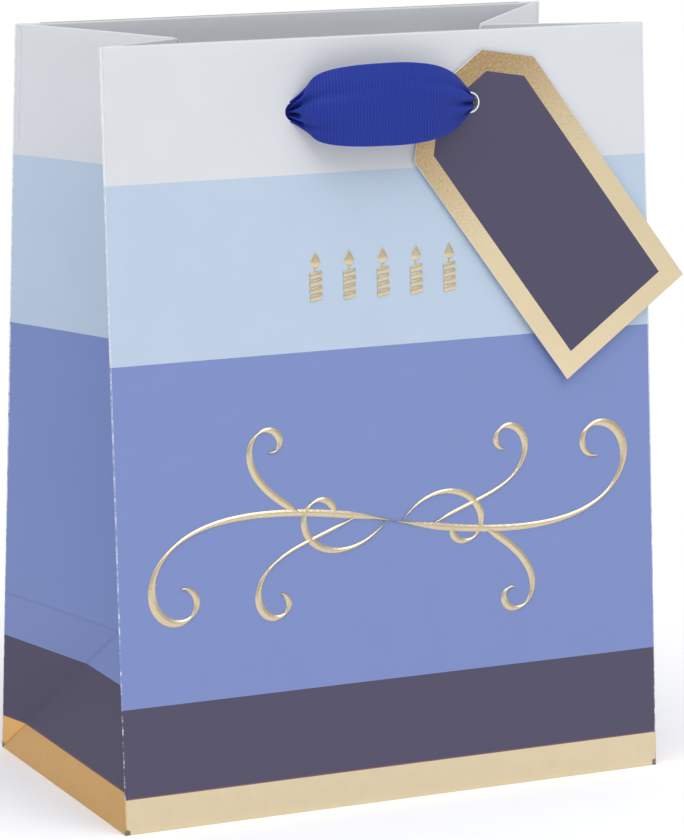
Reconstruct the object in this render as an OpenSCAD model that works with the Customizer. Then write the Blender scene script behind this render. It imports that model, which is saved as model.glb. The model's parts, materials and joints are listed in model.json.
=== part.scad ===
// Paper gift bag: folded paper body with V-folded side gussets, two short
// ribbon handles, a hang tag, stiffening cards and a base board.
// The origin is the middle of the underside. +Z is up, the front faces -Y.
// Every crease that moves divides the paper into separate flat panels.

/* [Bag] */
// Width of the front and back panels
bag_w = 178; // [150:1:210]
// Depth of the bottom, front to back
bag_d = 102; // [94:1:110]
// Height of the panels, measured along the paper
bag_h = 230; // [215:1:250]
// Distance between the front and back panels at the rim
mouth_d = 67; // [62:1:80]
// Thickness of the paper
paper_t = 0.35; // [0.3:0.05:0.4]
// Height of the hem that is turned in round the mouth
hem_h = 36; // [32:1:40]

/* [Stiffeners] */
// Thickness of the card behind each top hem
card_t = 0.8; // [0.5:0.1:1]
// Thickness of the base board
board_t = 1.2; // [0.8:0.1:1.5]

/* [Ribbon handles] */
// Width of the ribbon across the middle of its loop
ribbon_w = 25; // [20:1:26]
// Distance between the two ribbon holes
hole_spacing = 57; // [54:1:62]
// Distance from the rim down to the holes
hole_drop = 21.5; // [19:0.5:24]
// Radius of the ribbon holes in the bag and in the tag
hole_r = 2.8; // [2.7:0.1:3.2]
// How far the middle of the loop stands further out than its ends
ribbon_bulge = 8.5; // [8:0.5:12]

/* [Tag] */
// Width of the tag
tag_w = 50; // [40:1:52]
// Length of the tag
tag_l = 97; // [80:1:100]
// Size of the two corners cut off at the top of the tag
tag_corner = 12.5; // [8:0.5:14]
// Distance from the tag's top edge to its hole
tag_hole_drop = 10; // [9:0.5:12]
// Angle between the tag and straight down, towards the right
tag_swing = 35.8; // [0:0.1:60]

/* [Hidden] */
$fn = 48;
// Lean of the front and back panels, from upright
lean = asin((bag_d - mouth_d) / 2 / bag_h);
// Room at a vertical edge, so that the gusset can fold without touching
corner_gap = 2.2;
// Room on each side of a gusset's centre crease, at the rim and at its foot
crease_gap = 0.35;
apex_gap = 1.7;
// Room on each side of a diagonal crease at the foot
diagonal_gap = 0.8;
// Room between two facets that meet along a level crease
level_gap = 0.4;
// Number of strips that a folded gusset half is made of, and their height
gusset_strips = 24;
strip_h = (bag_h - bag_d / 2 - level_gap) / gusset_strips;
// Number of those strips that the gusset's hem covers
hem_strips = round(hem_h / strip_h);
// Space between a gusset and its hem, and from its hem to the edge and crease
hem_gap = 0.15;
hem_corner_gap = corner_gap + 1.2;
hem_crease_gap = 0.6;
// Height of a foot corner's lower end above the corner gap
foot_corner_rise = 3;
// Clear space kept round the glued layers of the bottom
base_inset = 1.5;
// How far the two big bottom flaps reach past the middle
flap_lap = 10;
// Space between the board and the walls
board_inset = 4;
// Size of the corners cut off the big flaps, and how far the small ones reach
flap_cut = bag_d / 4;
flap_reach = bag_d / 2.5;
// How much further in the small flaps start
small_inset = base_inset + 1;
// Vertical step from one layer of the bottom to the next
layer_step = paper_t + 0.05;
// Distance from a vertical edge to the card and hem of the same panel
card_inset = 8;
// How far the card ends below the rim
card_drop = 1;
// Radius of the gathered ribbon where it goes through a hole
neck_r = 1.9;
// How far the ends of the ribbon loop stand off the panel
loop_start = 3;
// Thickness of the ribbon loop
ribbon_t = 0.8;
// Number of strips that the ribbon loop is made of
loop_strips = 20;
// Share of the half spacing at which the loop meets its neck
loop_end = 0.975;
// How fast the ribbon opens out to its full width, 0.5 for an ellipse
loop_gather = 0.4;
// Space between the end of a neck and the paper side of its knot
neck_gap = 0.6;
// Thickness of the tag's card, and its distance from the front panel
tag_t = 0.4;
tag_off = 1;
// Radius of the knot inside the bag, and the size of its loose tail
knot_r = 4.2;
tail = [9, 0.8, 19];
// Angle between the loose tail and straight down
tail_turn = 12;
// Layers between the outside of a panel and the knot, with room to turn
knot_depth = 2 * paper_t + card_t + 0.3;
// Width of the glue flap that closes the sheet into a tube, the height of its
// lower end and its distance from the hem
seam_w = 16;
seam_low = 8;
seam_top = 2;
// How far a hole's cutter reaches past the layer it cuts, and its length
bore_start = -1;
bore_l = 4;

white = "#dcdfe8";
navy = "#3c3a58";
gold = "#d9b878";
royal = "#2436a8";
lilac = "#8094d4";
board = "#b9b3a6";

// --- geometry of the folded side -------------------------------------------
// A gusset half is hinged on a vertical edge of the bag. At height h along the
// paper it has turned inwards by fold_angle(h), so that both halves of the
// gusset meet in the middle plane of the bag. Below the height of the apex the
// paper between the edge and the diagonal crease is flat.

function apex_h() = bag_d / 2;
function fold_angle(h) =
  acos((bag_d / 2 - max(h, apex_h()) * sin(lean)) / (bag_d / 2 * cos(lean)));
// Lean of the triangle at the foot, from upright
function foot_lean() = acos((1 - sin(lean)) / cos(lean));

// A point of the left (sx = -1) or right (sx = 1) side, next to the front
// (sy = -1) or back (sy = 1) panel: h is the height along the paper, w the
// distance from the vertical edge and d the depth under the outer surface.
function side_point(sx, sy, h, w, d) =
  let (
    a = fold_angle(h),
    edge = [sx * bag_w / 2, sy * (bag_d / 2 - h * sin(lean)), h * cos(lean)],
    across = [0, -sy * cos(lean), -sin(lean)],
    inwards = [-sx, 0, 0]
  )
  edge + w * (cos(a) * across + sin(a) * inwards)
       + d * (cos(a) * inwards - sin(a) * across);

// A sheet between two rails of points, one pair of rails for each face.
// Every level holds four points: outer near, outer far, inner near, inner far.
module sheet(levels, flip) {
  n = len(levels);
  corner = [0, 1, 3, 2];
  points = [for (l = levels) each l];
  // The outer and the inner face are split along the same diagonal, so that a
  // twisted sheet keeps its thickness.
  walls = [
    for (i = [0 : n - 2], k = [0 : 3])
      let (
        a = 4 * i + corner[k],
        b = 4 * i + corner[(k + 1) % 4]
      )
      each k == 2 ? [[a, b, a + 4], [b, b + 4, a + 4]]
                  : [[a, b, b + 4], [a, b + 4, a + 4]]
  ];
  last = 4 * (n - 1);
  caps = [
    [0, 2, 3], [0, 3, 1],
    [last, last + 1, last + 3], [last, last + 3, last + 2]
  ];
  faces = concat(walls, caps);
  polyhedron(points, flip ? [for (f = faces) [f[2], f[1], f[0]]] : faces);
}

// Side paper from height h[0] to h[1]. It starts at w0 from the vertical edge
// and ends at far[0] at its lower end and far[1] at its upper end.
module side_sheet(sx, sy, h, w0, far, depth, strips) {
  inner = depth + paper_t;
  levels = [
    for (i = [0 : strips])
      let (
        hi = h[0] + (h[1] - h[0]) * i / strips,
        wi = far[0] + (far[1] - far[0]) * i / strips
      )
      [
        side_point(sx, sy, hi, w0, depth), side_point(sx, sy, hi, wi, depth),
        side_point(sx, sy, hi, w0, inner), side_point(sx, sy, hi, wi, inner)
      ]
  ];
  sheet(levels, sx * sy > 0);
}

// --- placing ----------------------------------------------------------------
// In panel space the outer surface is the plane y = 0, +Y points into the bag
// and Z runs up the paper.
module on_front() {
  translate([0, -bag_d / 2, 0]) rotate([-lean, 0, 0]) children();
}

module on_back() {
  mirror([0, 1, 0]) on_front() children();
}

// The centre line of a ribbon hole, side = -1 for the left and 1 for the right
module at_hole(side) {
  translate([side * hole_spacing / 2, 0, bag_h - hole_drop])
    rotate([-90, 0, 0]) children();
}

module through_holes() {
  for (side = [-1, 1])
    at_hole(side) translate([0, 0, bore_start]) cylinder(h = bore_l, r = hole_r);
}

// --- front and back ---------------------------------------------------------
module panel() {
  difference() {
    translate([-bag_w / 2, 0, 0]) cube([bag_w, paper_t, bag_h]);
    through_holes();
  }
}

// A layer inside the mouth, from depth y0 for thickness t
module top_layer(y0, t, drop) {
  w = bag_w - 2 * card_inset;
  difference() {
    translate([-w / 2, y0, bag_h - hem_h + drop]) cube([w, t, hem_h - drop]);
    through_holes();
  }
}

module top_card() {
  top_layer(paper_t, card_t, card_drop);
}

module top_hem() {
  top_layer(paper_t + card_t, paper_t, 0);
}

// A ribbon end, tied in a knot that can't go back through its hole
module knot(side) {
  at_hole(side) translate([0, 0, knot_depth]) {
    difference() {
      sphere(r = knot_r);
      translate([-knot_r, -knot_r, -2 * knot_r]) cube(2 * knot_r);
    }
    rotate([0, 0, side * tail_turn])
      translate([-tail[0] / 2, 0, 0]) cube([tail[0], tail[2], tail[1]]);
  }
}

module front_panel() { color(lilac) on_front() panel(); }
module front_card() { color(board) on_front() top_card(); }
module front_hem() { color(white) on_front() top_hem(); }
module front_knot_left() { color(royal) on_front() knot(-1); }
module front_knot_right() { color(royal) on_front() knot(1); }

module back_panel() { color(lilac) on_back() panel(); }
module back_card() { color(board) on_back() top_card(); }
module back_hem() { color(white) on_back() top_hem(); }
module back_knot_left() { color(royal) on_back() knot(-1); }
module back_knot_right() { color(royal) on_back() knot(1); }

// The glued edge of the sheet, inside the back panel next to the left gusset
module side_seam_flap() {
  color(white) on_back()
    translate([-bag_w / 2 + card_inset, paper_t, seam_low])
      cube([seam_w, paper_t, bag_h - hem_h - seam_low - seam_top]);
}

// --- side gussets -----------------------------------------------------------
module gusset(sx, sy) {
  side_sheet(sx, sy, [bag_h - gusset_strips * strip_h, bag_h], corner_gap,
    [bag_d / 2 - apex_gap, bag_d / 2 - crease_gap], 0, gusset_strips);
}

// The hem has its levels where the gusset has them, a little further in
module gusset_hem(sx, sy) {
  far = bag_d / 2 - hem_crease_gap;
  side_sheet(sx, sy, [bag_h - hem_strips * strip_h, bag_h], hem_corner_gap,
    [far, far], paper_t + hem_gap, hem_strips);
}

// The flat corner between a vertical edge and the diagonal crease
module foot_corner(sx, sy) {
  h = [corner_gap + foot_corner_rise, apex_h() - level_gap];
  side_sheet(sx, sy, h, corner_gap,
    [h[0] - 2 * diagonal_gap, h[1] - 2 * diagonal_gap], 0, 1);
}

module gusset_front_left() { color(lilac) gusset(-1, -1); }
module gusset_back_left() { color(lilac) gusset(-1, 1); }
module gusset_front_right() { color(lilac) gusset(1, -1); }
module gusset_back_right() { color(lilac) gusset(1, 1); }

module gusset_hem_front_left() { color(white) gusset_hem(-1, -1); }
module gusset_hem_back_left() { color(white) gusset_hem(-1, 1); }
module gusset_hem_front_right() { color(white) gusset_hem(1, -1); }
module gusset_hem_back_right() { color(white) gusset_hem(1, 1); }

module foot_corner_front_left() { color(navy) foot_corner(-1, -1); }
module foot_corner_back_left() { color(navy) foot_corner(-1, 1); }
module foot_corner_front_right() { color(navy) foot_corner(1, -1); }
module foot_corner_back_right() { color(navy) foot_corner(1, 1); }

// The triangle between the bottom edge of a side and its two diagonals
module left_foot() {
  half = bag_d / 2 - 2 * diagonal_gap - level_gap;
  translate([-bag_w / 2, 0, 0]) rotate([0, foot_lean(), 0])
    rotate([90, 0, 90])
      linear_extrude(paper_t)
        polygon([[-half, level_gap], [half, level_gap], [0, half + level_gap]]);
}

module left_foot_fold() { color(gold) left_foot(); }
module right_foot_fold() { color(gold) mirror([1, 0, 0]) left_foot(); }

// --- bottom -----------------------------------------------------------------
// Front flap of the bottom, with its inner corners cut off at 45 degrees
module big_flap(z) {
  x = bag_w / 2 - base_inset;
  y0 = -bag_d / 2 + base_inset;
  translate([0, 0, z]) linear_extrude(paper_t)
    polygon([
      [-x, y0], [x, y0], [x, flap_lap - flap_cut], [x - flap_cut, flap_lap],
      [-x + flap_cut, flap_lap], [-x, flap_lap - flap_cut]
    ]);
}

// Left flap of the bottom, under the board
module small_flap(z) {
  x = -bag_w / 2 + small_inset;
  y = bag_d / 2 - small_inset;
  translate([0, 0, z]) linear_extrude(paper_t)
    polygon([
      [x, -y], [x + flap_reach, -y + flap_reach],
      [x + flap_reach, y - flap_reach], [x, y]
    ]);
}

module bottom_flap_front() { color(white) big_flap(0); }
module bottom_flap_back() { color(white) mirror([0, 1, 0]) big_flap(layer_step); }
module bottom_flap_left() { color(white) small_flap(2 * layer_step); }
module bottom_flap_right() { color(white) mirror([1, 0, 0]) small_flap(2 * layer_step); }

module base_board() {
  size = [bag_w - 2 * board_inset, bag_d - 2 * board_inset, board_t];
  color(board)
    translate([-size[0] / 2, -size[1] / 2, 3 * layer_step]) cube(size);
}

// --- ribbon handles ---------------------------------------------------------
// The flat ribbon is gathered into a hole at each end of the loop and opens
// out to its full width in the middle.
function loop_out(u) = loop_start + ribbon_bulge * (1 - u * u);
function loop_half(u) = ribbon_w / 2 * pow(1 - u * u, loop_gather);

module loop() {
  levels = [
    for (i = [0 : loop_strips])
      let (
        u = loop_end * (2 * i / loop_strips - 1),
        x = u * hole_spacing / 2,
        out = -loop_out(u),
        half = loop_half(u),
        z = bag_h - hole_drop
      )
      [
        [x, out, z - half], [x, out, z + half],
        [x, out - ribbon_t, z - half], [x, out - ribbon_t, z + half]
      ]
  ];
  sheet(levels, true);
  for (side = [-1, 1])
    at_hole(side) translate([0, 0, -loop_out(loop_end) - ribbon_t])
      cylinder(h = loop_out(loop_end) + ribbon_t + knot_depth - neck_gap, r = neck_r);
}

module front_ribbon() { color(royal) on_front() loop(); }
module back_ribbon() { color(royal) on_back() loop(); }

// --- tag --------------------------------------------------------------------
// The tag hangs on the right end of the front ribbon, between loop and panel.
module tag() {
  top = tag_hole_drop;
  bottom = top - tag_l;
  half = tag_w / 2;
  color(navy) on_front()
    translate([hole_spacing / 2, -tag_off, bag_h - hole_drop])
      rotate([0, -tag_swing, 0]) rotate([90, 0, 0])
        difference() {
          linear_extrude(tag_t)
            polygon([
              [-half, bottom], [half, bottom], [half, top - tag_corner],
              [half - tag_corner, top], [-half + tag_corner, top],
              [-half, top - tag_corner]
            ]);
          translate([0, 0, bore_start]) cylinder(h = bore_l, r = hole_r);
        }
}

base_board();
bottom_flap_front();
bottom_flap_back();
bottom_flap_left();
bottom_flap_right();
left_foot_fold();
right_foot_fold();
front_panel();
front_card();
front_hem();
front_knot_left();
front_knot_right();
back_panel();
back_card();
back_hem();
side_seam_flap();
back_knot_left();
back_knot_right();
gusset_front_left();
gusset_back_left();
gusset_front_right();
gusset_back_right();
gusset_hem_front_left();
gusset_hem_back_left();
gusset_hem_front_right();
gusset_hem_back_right();
foot_corner_front_left();
foot_corner_back_left();
foot_corner_front_right();
foot_corner_back_right();
front_ribbon();
back_ribbon();
tag();
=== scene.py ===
import json
import math

import bpy
from bpy.props import FloatProperty, FloatVectorProperty, PointerProperty
from mathutils import Matrix, Vector, noise


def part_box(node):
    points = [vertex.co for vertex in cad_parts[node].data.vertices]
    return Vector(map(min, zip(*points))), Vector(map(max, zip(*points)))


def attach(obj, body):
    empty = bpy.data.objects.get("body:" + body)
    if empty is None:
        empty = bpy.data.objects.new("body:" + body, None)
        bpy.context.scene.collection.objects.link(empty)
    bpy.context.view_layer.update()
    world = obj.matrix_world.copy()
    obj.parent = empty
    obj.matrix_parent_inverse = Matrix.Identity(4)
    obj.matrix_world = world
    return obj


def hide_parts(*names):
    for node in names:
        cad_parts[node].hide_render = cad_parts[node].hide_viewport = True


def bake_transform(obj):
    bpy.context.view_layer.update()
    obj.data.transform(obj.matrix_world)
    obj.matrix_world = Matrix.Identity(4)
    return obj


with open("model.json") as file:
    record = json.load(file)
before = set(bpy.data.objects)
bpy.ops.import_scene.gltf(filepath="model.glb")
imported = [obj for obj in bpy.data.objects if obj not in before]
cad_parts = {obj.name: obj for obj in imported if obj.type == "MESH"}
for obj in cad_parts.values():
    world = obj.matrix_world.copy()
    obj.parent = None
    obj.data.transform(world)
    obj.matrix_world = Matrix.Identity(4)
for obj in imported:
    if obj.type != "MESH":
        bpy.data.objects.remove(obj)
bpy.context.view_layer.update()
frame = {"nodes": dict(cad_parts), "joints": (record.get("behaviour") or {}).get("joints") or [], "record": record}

bl_info = {
    "name": "Gift Bag",
    "version": (1, 0, 0),
    "blender": (4, 5, 0),
    "location": "View3D > Sidebar > Gift Bag",
    "description": "Builds a folded paper gift bag with ribbon handles and a hang tag",
    "category": "Add Mesh",
}

MM = 0.001

# --- the bag's own measures, from the frame
JOINTS = {j["name"]: j for j in frame["joints"]}
RATIO = {c["joint"]: c["ratio"] for c in frame["record"]["behaviour"]["couplings"]}
_, LEAN_SIN, LEAN_COS = JOINTS["gusset_front_right_fold"]["axis"]
BAG_W = 2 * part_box("front_panel")[1].x
BAG_D = -2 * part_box("front_panel")[0].y
BAG_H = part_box("back_panel")[1].z / LEAN_COS
APEX_H = BAG_D / 2
HOLE_X = JOINTS["tag_swing"]["pos_m"][0]
HOLE_H = JOINTS["tag_swing"]["pos_m"][2] / LEAN_COS
HOLE_R = 2.8 * MM  # hidden inside the frame's meshes, so given here
HEM_H = BAG_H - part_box("front_hem")[0].z / LEAN_COS
FRONT, BACK, LEFT, RIGHT = -1, 1, -1, 1


def panel_point(side, x, h, depth=0.0):
    """A point on the front or back panel: h up the paper, depth into the bag."""
    y = side * (BAG_D / 2 - h * LEAN_SIN - depth * LEAN_COS)
    return Vector((x, y, h * LEAN_COS - depth * LEAN_SIN))


def fold_angle(h):
    """How far a gusset half has turned inwards at height h."""
    reach = BAG_D / 2 - max(h, APEX_H) * LEAN_SIN
    return math.acos(reach / (BAG_D / 2 * LEAN_COS))


def side_axes(sx, sy):
    """The directions across a side and into the bag, next to a vertical edge."""
    return Vector((0, -sy * LEAN_COS, -LEAN_SIN)), Vector((-sx, 0, 0))


def side_point(sx, sy, h, w, depth=0.0):
    """A point on a folded side: w from the vertical edge, depth into the bag."""
    a = fold_angle(h)
    edge = Vector((sx * BAG_W / 2, sy * (BAG_D / 2 - h * LEAN_SIN), h * LEAN_COS))
    across, inwards = side_axes(sx, sy)
    return (
        edge
        + w * (math.cos(a) * across + math.sin(a) * inwards)
        + depth * (math.cos(a) * inwards - math.sin(a) * across)
    )


def foot_point(sx, y, u):
    """A point on the triangle at the foot of a side, u up from the bottom edge."""
    lean = math.acos((1 - LEAN_SIN) / LEAN_COS)
    return Vector((sx * (BAG_W / 2 - u * math.sin(lean)), y, u * math.cos(lean)))


def over_rim(h, radius):
    """The height and depth of paper that turns over the rim and runs down inside."""
    start = BAG_H - radius
    if h <= start:
        return h, 0.0
    turn = (h - start) / radius
    if turn >= math.pi:
        return start - (turn - math.pi) * radius, 2 * radius
    return start + radius * math.sin(turn), radius * (1 - math.cos(turn))


def spread(low, high, count):
    """count + 1 evenly spaced numbers from low to high."""
    return [low + (high - low) * i / count for i in range(count + 1)]


def waviness(x, h):
    """How far the front or back paper stands in or out of flat."""
    edge, rim, swell = 20 * MM, 25 * MM, 0.35 * MM
    margin = min(1.0, (BAG_W / 2 - abs(x)) / edge, h / edge, (BAG_H - h) / rim)
    return swell * max(0.0, margin) * noise.noise(Vector((x * 14, h * 11, 0.7)))


# --- working on meshes
def deselect():
    if bpy.context.object and bpy.context.object.mode != "OBJECT":
        bpy.ops.object.mode_set(mode="OBJECT")
    bpy.ops.object.select_all(action="DESELECT")


def take(obj):
    """Makes obj the only selected and the active object."""
    deselect()
    obj.select_set(True)
    bpy.context.view_layer.objects.active = obj
    return obj


def edit(obj):
    take(obj)
    bpy.ops.object.mode_set(mode="EDIT")
    bpy.ops.mesh.select_all(action="SELECT")


def leave_edit():
    bpy.ops.object.mode_set(mode="OBJECT")


def finish_modifier(obj, kind, **settings):
    """Adds a modifier and applies it."""
    modifier = obj.modifiers.new(kind.title(), kind)
    for name, value in settings.items():
        setattr(modifier, name, value)
    take(obj)
    bpy.ops.object.modifier_apply(modifier=modifier.name)


def smooth(obj, angle=35):
    take(obj)
    bpy.ops.object.shade_smooth_by_angle(angle=math.radians(angle))


def named(name):
    obj = bpy.context.object
    obj.name = obj.data.name = name
    return obj


def apply_place(obj):
    take(obj)
    bpy.ops.object.transform_apply(location=True, rotation=True, scale=True)


def join(name, pieces):
    """Joins pieces into the first one."""
    take(pieces[0])
    for piece in pieces[1:]:
        piece.select_set(True)
    bpy.ops.object.join()
    return named(name)


def copy_of(obj, name):
    twin = obj.copy()
    twin.data = obj.data.copy()
    twin.name = twin.data.name = name
    bpy.context.scene.collection.objects.link(twin)
    return twin


def edit_part(obj, wanted):
    """Opens obj for editing with only the points selected that wanted accepts."""
    edit(obj)
    bpy.ops.mesh.select_all(action="DESELECT")
    leave_edit()
    for vertex in obj.data.vertices:
        vertex.select = wanted(vertex.co)
    bpy.ops.object.mode_set(mode="EDIT")


def lay_out(mesh, flat):
    """Gives a sheet the UV map "sheet": the flat point of each vertex, in metres."""
    while mesh.uv_layers:
        mesh.uv_layers.remove(mesh.uv_layers[0])
    layout = mesh.uv_layers.new(name="sheet")
    for loop in mesh.loops:
        layout.data[loop.index].uv = flat[loop.vertex_index]


def paint(obj, *materials):
    obj.data.materials.clear()
    for material in materials:
        obj.data.materials.append(material)


def thicken(obj, thickness, faces):
    """Gives a sheet its thickness, with one finish outside and one inside."""
    paint(obj, *faces)
    finish_modifier(obj, "SOLIDIFY", thickness=thickness, offset=-1, material_offset=1)


def cut_sheet(name, columns, rows, place, faces, cut=None, outward=None, thick=0.35 * MM):
    """A sheet laid out flat as a grid, cut to shape and folded into place.

    cut gives the flat point for a column and row, place the point in space for
    a flat point, and outward the side that the first of its faces is on.
    """
    deselect()
    bpy.ops.mesh.primitive_grid_add(
        x_subdivisions=len(columns) - 1, y_subdivisions=len(rows) - 1, size=2
    )
    obj = named(name)
    mesh = obj.data
    if len(mesh.vertices) != len(columns) * len(rows):
        raise RuntimeError(f"{name}: the grid has {len(mesh.vertices)} points")
    flat = []
    for vertex in mesh.vertices:
        i = round((vertex.co.x + 1) / 2 * (len(columns) - 1))
        j = round((vertex.co.y + 1) / 2 * (len(rows) - 1))
        point = (columns[i], rows[j])
        flat.append(cut(*point) if cut else point)
    lay_out(mesh, flat)
    for vertex, point in zip(mesh.vertices, flat):
        vertex.co = place(*point)
    mesh.update()
    if outward is not None:
        if sum(f.area * f.normal.dot(outward) for f in mesh.polygons) < 0:
            edit(obj)
            bpy.ops.mesh.flip_normals()
            leave_edit()
    if thick:
        thicken(obj, thick, faces)
    return obj


# --- shading
class Value:
    """A number that changes over a surface: an output socket with arithmetic."""

    def __init__(self, shade, socket):
        self.shade = shade
        self.socket = socket

    def __add__(self, other):
        return self.shade.math("ADD", self, other)

    def __sub__(self, other):
        return self.shade.math("SUBTRACT", self, other)

    def __rsub__(self, other):
        return self.shade.math("SUBTRACT", other, self)

    def __mul__(self, other):
        return self.shade.math("MULTIPLY", self, other)

    def __abs__(self):
        return self.shade.math("ABSOLUTE", self)

    __radd__ = __add__
    __rmul__ = __mul__


class Shade:
    """A material being built from nodes."""

    def __init__(self, name):
        self.material = bpy.data.materials.new(name)
        self.material.use_nodes = True
        self.tree = self.material.node_tree
        self.shader = self.tree.nodes["Principled BSDF"]

    def node(self, kind, settings=None, **sockets):
        """Adds a node. settings come first; sockets are named or numbered (n0, n1)."""
        node = self.tree.nodes.new(kind)
        for name, value in (settings or {}).items():
            setattr(node, name, value)
        for name, value in sockets.items():
            key = int(name[1:]) if name[0] == "n" and name[1:].isdigit() else name
            if isinstance(key, str):
                key = key.replace("_", " ")
            self.feed(node.inputs[key], value)
        return node

    def feed(self, socket, value):
        if isinstance(value, Value):
            value = value.socket
        if isinstance(value, bpy.types.NodeSocket):
            self.tree.links.new(value, socket)
        else:
            socket.default_value = value

    def math(self, operation, *values):
        sockets = {f"n{i}": v for i, v in enumerate(values)}
        node = self.node("ShaderNodeMath", {"operation": operation}, **sockets)
        return Value(self, node.outputs[0])

    def step(self, value, low, high, start=0.0, end=1.0):
        """start below low, end above high, and smooth between them."""
        node = self.node(
            "ShaderNodeMapRange", {"interpolation_type": "SMOOTHSTEP"},
            n0=value, n1=low, n2=high, n3=start, n4=end,
        )
        return Value(self, node.outputs[0])

    def mix(self, factor, below, above):
        """A colour between below and above."""
        node = self.node(
            "ShaderNodeMix", {"data_type": "RGBA"}, n0=factor, n6=below, n7=above
        )
        return node.outputs[2]

    def tones(self, factor, colour, darker, lighter):
        return self.mix(factor, rgba(colour, darker), rgba(colour, lighter))

    def layout(self):
        """A sheet's flat layout, and its two coordinates."""
        uv = self.node("ShaderNodeUVMap", {"uv_map": "sheet"}).outputs[0]
        parts = self.node("ShaderNodeSeparateXYZ", n0=uv).outputs
        return uv, Value(self, parts[0]), Value(self, parts[1])

    def place(self):
        """The point on the piece itself."""
        return self.node("ShaderNodeTexCoord").outputs["Object"]

    def noise(self, where, scale, detail=2.0, roughness=0.5):
        node = self.node(
            "ShaderNodeTexNoise", Vector=where, Scale=scale, Detail=detail,
            Roughness=roughness,
        )
        return Value(self, node.outputs["Fac"])

    def bump(self, height, distance, strength=1.0, under=None):
        node = self.node(
            "ShaderNodeBump", Height=height, Distance=distance, Strength=strength
        )
        if under is not None:
            self.feed(node.inputs["Normal"], under)
        return node.outputs[0]

    def done(self, **sockets):
        """Sets the shader's sockets, _ standing for a space, and gives the material."""
        for name, value in sockets.items():
            self.feed(self.shader.inputs[name.replace("_", " ")], value)
        return self.material


def rgba(colour, shade=1.0):
    return (*(part * shade for part in colour), 1.0)


# --- settings
def length(label, text, default):
    return FloatProperty(
        name=label, description=text, default=default, min=0.0, unit="LENGTH",
        subtype="DISTANCE", precision=5,
    )


def angle(label, text, degrees):
    return FloatProperty(
        name=label, description=text, default=math.radians(degrees), subtype="ANGLE",
    )


def colour(label, text, default):
    return FloatVectorProperty(
        name=label, description=text, default=default, size=3, min=0.0, max=1.0,
        subtype="COLOR",
    )


class GiftBagPaper(bpy.types.PropertyGroup):
    """The printed sheet that the bag is folded from"""

    thickness: length("Paper", "Thickness of the paper", 0.35 * MM)
    foil_top: length("Foil top", "Height of the foil band's upper edge", 10.4 * MM)
    dark_top: length("Dark top", "Height of the dark band's upper edge", 37.2 * MM)
    middle_top: length("Middle top", "Height of the middle band's upper edge", 137.8 * MM)
    pale_top: length("Pale top", "Height of the pale band's upper edge", 190.1 * MM)
    white: colour("White", "Colour of the top band", (0.617, 0.637, 0.670))
    inside: colour("Inside", "Colour of the unprinted side", (0.94, 0.945, 0.985))
    pale: colour("Pale blue", "Colour of the pale band", (0.444, 0.542, 0.671))
    middle: colour("Middle blue", "Colour of the middle band", (0.175, 0.235, 0.495))
    dark: colour("Dark blue", "Colour of the dark band", (0.064, 0.0553, 0.1067))
    tag_dark: colour("Tag", "Colour of the tag's printed face", (0.056, 0.050, 0.099))
    foil: colour("Foil", "Colour of the metal foil", (0.75, 0.632, 0.423))
    # a deeper gold than the foil, for the sides: painted shade on the same foil
    side_foil: colour("Side foil", "Colour of the foil on the sides", (0.76, 0.45, 0.165))


class GiftBagRibbon(bpy.types.PropertyGroup):
    """The two ribbon handles"""

    width: length("Width", "Width of the ribbon", 25 * MM)
    thickness: length("Thickness", "Thickness of the ribbon", 0.4 * MM)
    rise: length("Rise", "How far the loop stands off the panel", 11.6 * MM)
    rib_pitch: length("Rib pitch", "Distance between the ribs of the weave", 1.0 * MM)
    colour: colour("Colour", "Colour of the ribbon", (0.005, 0.024, 0.268))


class GiftBagTag(bpy.types.PropertyGroup):
    """The hang tag"""

    width: length("Width", "Width of the tag", 50 * MM)
    length: length("Length", "Length of the tag", 97 * MM)
    corner: length("Corner", "Size of the cut corners", 12.5 * MM)
    border: length("Border", "Width of the foil border", 6 * MM)
    hole_drop: length("Hole drop", "From the top edge to the hole", 10 * MM)
    thickness: length("Thickness", "Thickness of the card", 0.4 * MM)
    curl: length("Curl", "How far the lower end stands off the bag", 1.2 * MM)
    swing: angle("Swing", "Turn of the tag from straight down", 35.8)


class GiftBagStage(bpy.types.PropertyGroup):
    """Camera, lights and floor"""

    azimuth: angle("Azimuth", "Camera's turn round the bag", -25.484)
    elevation: angle("Elevation", "Camera's height angle", 11.742)
    roll: angle("Roll", "Camera's roll", 0.362)
    distance: length("Distance", "Camera's distance from its target", 1.255)
    lens: FloatProperty(
        name="Lens", description="Focal length in millimetres", default=174.8, min=1
    )
    world: FloatProperty(
        name="World", description="Brightness of the surroundings", default=0.62, min=0
    )


# --- materials
FINISHES = {}


def finish(name, build, *details):
    """A material, made once."""
    if name not in FINISHES:
        FINISHES[name] = build(name, *details)
    return FINISHES[name]


def both_faces(name, foil_colour):
    """The printed finish with this foil, and the plain one inside."""
    return finish(name, printed_paper, foil_colour), finish("plain_paper", plain_paper)


# what shows through or lies on the print here and there, and the painted shade of the creases and painted
# highlight of the fold edges
WARM_INK = (0.25, 0.10, 0.09, 1)
BARE_PAPER_AND_HIGHLIGHT = (0.80, 0.80, 0.83, 1)
CREASE_SHADE = (0.09, 0.09, 0.16, 1)
GRIME = (0.20, 0.15, 0.12, 1)


def linen(shade, uv, across, along):
    """Height of the paper's faint linen emboss and fibres."""
    turns = 2 * math.pi / (0.62 * MM)
    weave = shade.math("SINE", across * turns) + shade.math("SINE", along * turns)
    return weave * 0.12 + shade.noise(uv, 900, 3) * 0.5


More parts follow.
